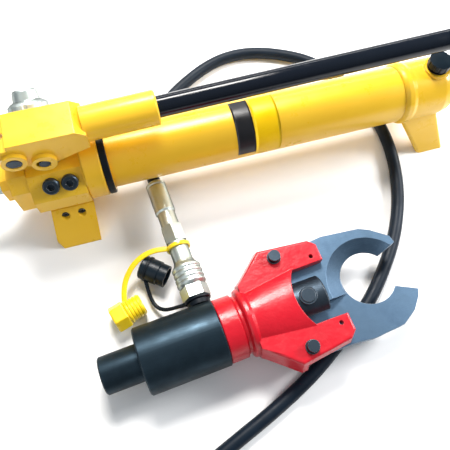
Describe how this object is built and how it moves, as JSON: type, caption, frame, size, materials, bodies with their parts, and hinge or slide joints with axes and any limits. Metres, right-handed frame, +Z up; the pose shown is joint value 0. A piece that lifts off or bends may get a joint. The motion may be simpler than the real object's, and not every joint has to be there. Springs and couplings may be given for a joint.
{
  "type": "hydraulic cable cutter",
  "caption": "Split hydraulic cable cutter: lever hand pump with cylindrical reservoir, hose with screw coupler, and a cutting head with two curved blades that close on a cable.",
  "frame": {"origin": "on the floor, below the reservoir's axis, at the middle of the front foot's underside", "axes": "+X along the pump from its outlet end to its filler end, +Z up, +Y away from the cutting head"},
  "size_m": [0.8121, 0.5631, 0.1754],
  "materials": {
    "yellow_paint": "gloss",
    "red_paint": "gloss",
    "black_oxide": "satin black oxide",
    "blade_steel": "ground and blued",
    "nickel": "plated",
    "dark_steel": "oiled",
    "bright_steel": "ground",
    "lever_black": "gloss",
    "black_rubber": "satin",
    "yellow_plastic": "gloss",
    "black_plastic": "satin",
    "label": "satin film"
  },
  "bodies": {
    "set": {"pump_block": "yellow_paint", "front_foot": "yellow_paint", "foot_screws": "dark_steel", "band_seal": "black_rubber", "reservoir_tube": "yellow_paint", "label_panel": "label", "end_cap": "yellow_paint", "filler_gasket": "black_rubber", "tie_rod": "bright_steel", "tie_nut": "bright_steel", "suction_pipe": "bright_steel", "suction_filter": "bright_steel", "check_balls": "bright_steel", "check_spring": "bright_steel", "facet_plugs": "dark_steel", "plunger_gland": "bright_steel", "pivot_pin": "dark_steel", "pivot_clips": "dark_steel", "release_gland": "nickel", "outlet_adapter": "nickel", "pump_swivel_nut": "nickel", "pump_ferrule": "nickel", "hydraulic_hose": "black_rubber", "coupler_base": "nickel", "coupler_body": "nickel", "coupler_ferrule": "nickel", "port_seal": "black_rubber", "black_strap": "black_rubber", "barrel": "black_oxide", "rear_cap": "black_oxide", "rod_seal": "black_rubber", "return_spring": "bright_steel", "head_yoke": "red_paint", "blade_pins": "dark_steel", "pin_rings": "dark_steel", "blade_spacers": "bright_steel"},
    "lever": {"lever_yoke": "yellow_paint", "lever_tube": "lever_black", "lever_plug": "black_plastic", "lever_screw": "dark_steel"},
    "plunger": {"plunger": "bright_steel", "plunger_seal": "black_rubber", "plunger_pin": "dark_steel"},
    "release_valve": {"release_knob": "nickel", "release_spindle": "bright_steel"},
    "filler": {"filler_cap": "black_plastic"},
    "ram": {"piston": "bright_steel", "piston_seal": "black_rubber", "piston_rod": "bright_steel", "piston_nut": "bright_steel", "ram_clevis": "dark_steel", "ram_pin": "dark_steel", "ram_pin_clips": "dark_steel"},
    "upper_blade": {"upper_blade": "blade_steel"},
    "lower_blade": {"lower_blade": "blade_steel"},
    "collar": {"coupler_collar": "nickel"},
    "yellow_tether": {"yellow_strap": "yellow_plastic"},
    "yellow_cap": {"yellow_cap": "yellow_plastic"},
    "black_cap": {"black_cap": "black_plastic"}
  },
  "joints": [
    {"name": "lever_pivot", "type": "hinge", "parent": "set", "child": "lever", "pos_m": [-0.03, 0, 0.14], "axis": [0, -1, 0], "range_deg": [0, 45]},
    {"name": "plunger_slide", "type": "slide", "parent": "set", "child": "plunger", "axis": [0, 0, 1], "range_m": [0, 0.0228]},
    {"name": "release_turn", "type": "hinge", "parent": "set", "child": "release_valve", "pos_m": [-0.012, 0.033, 0.096], "axis": [0, 0.7859, 0.6184], "range_deg": [0, 180]},
    {"name": "filler_turn", "type": "hinge", "parent": "set", "child": "filler", "pos_m": [0.473, 0, 0.115], "axis": [0, 0, 1], "continuous": true},
    {"name": "ram_slide", "type": "slide", "parent": "set", "child": "ram", "axis": [-0.9964, -0.0843, 0], "range_m": [0, 0.0195], "deforming": ["return_spring"]},
    {"name": "upper_blade_pivot", "type": "hinge", "parent": "set", "child": "upper_blade", "pos_m": [0.21201, -0.16833, 0.0375], "axis": [0, 0, 1], "range_deg": [-20.6, 0]},
    {"name": "lower_blade_pivot", "type": "hinge", "parent": "set", "child": "lower_blade", "pos_m": [0.22087, -0.27295, 0.0375], "axis": [0, 0, 1], "range_deg": [0, 20.6]},
    {"name": "collar_turn", "type": "hinge", "parent": "set", "child": "collar", "pos_m": [0.11696, -0.15389, 0.03358], "axis": [-0.0842, 0.9951, -0.0523], "continuous": true},
    {"name": "yellow_tether_swing", "type": "hinge", "parent": "set", "child": "yellow_tether", "pos_m": [0.11376, -0.11608, 0.03159], "axis": [-0.0842, 0.9951, -0.0523], "range_deg": [0, 60]},
    {"name": "yellow_cap_turn", "type": "hinge", "parent": "yellow_tether", "child": "yellow_cap", "pos_m": [0.0322, -0.1746, 0.0157], "axis": [0.9563, 0.2924, 0], "continuous": true},
    {"name": "black_cap_turn", "type": "hinge", "parent": "set", "child": "black_cap", "pos_m": [0.0793, -0.1323, 0.0149], "axis": [0.7804, -0.6252, 0], "continuous": true}
  ],
  "couplings": [
    {"joint": "plunger_slide", "follows": "lever_pivot", "m_per_rad": 0.02886},
    {"joint": "upper_blade_pivot", "follows": "ram_slide", "rad_per_m": -18.295},
    {"joint": "lower_blade_pivot", "follows": "ram_slide", "rad_per_m": 18.295}
  ]
}
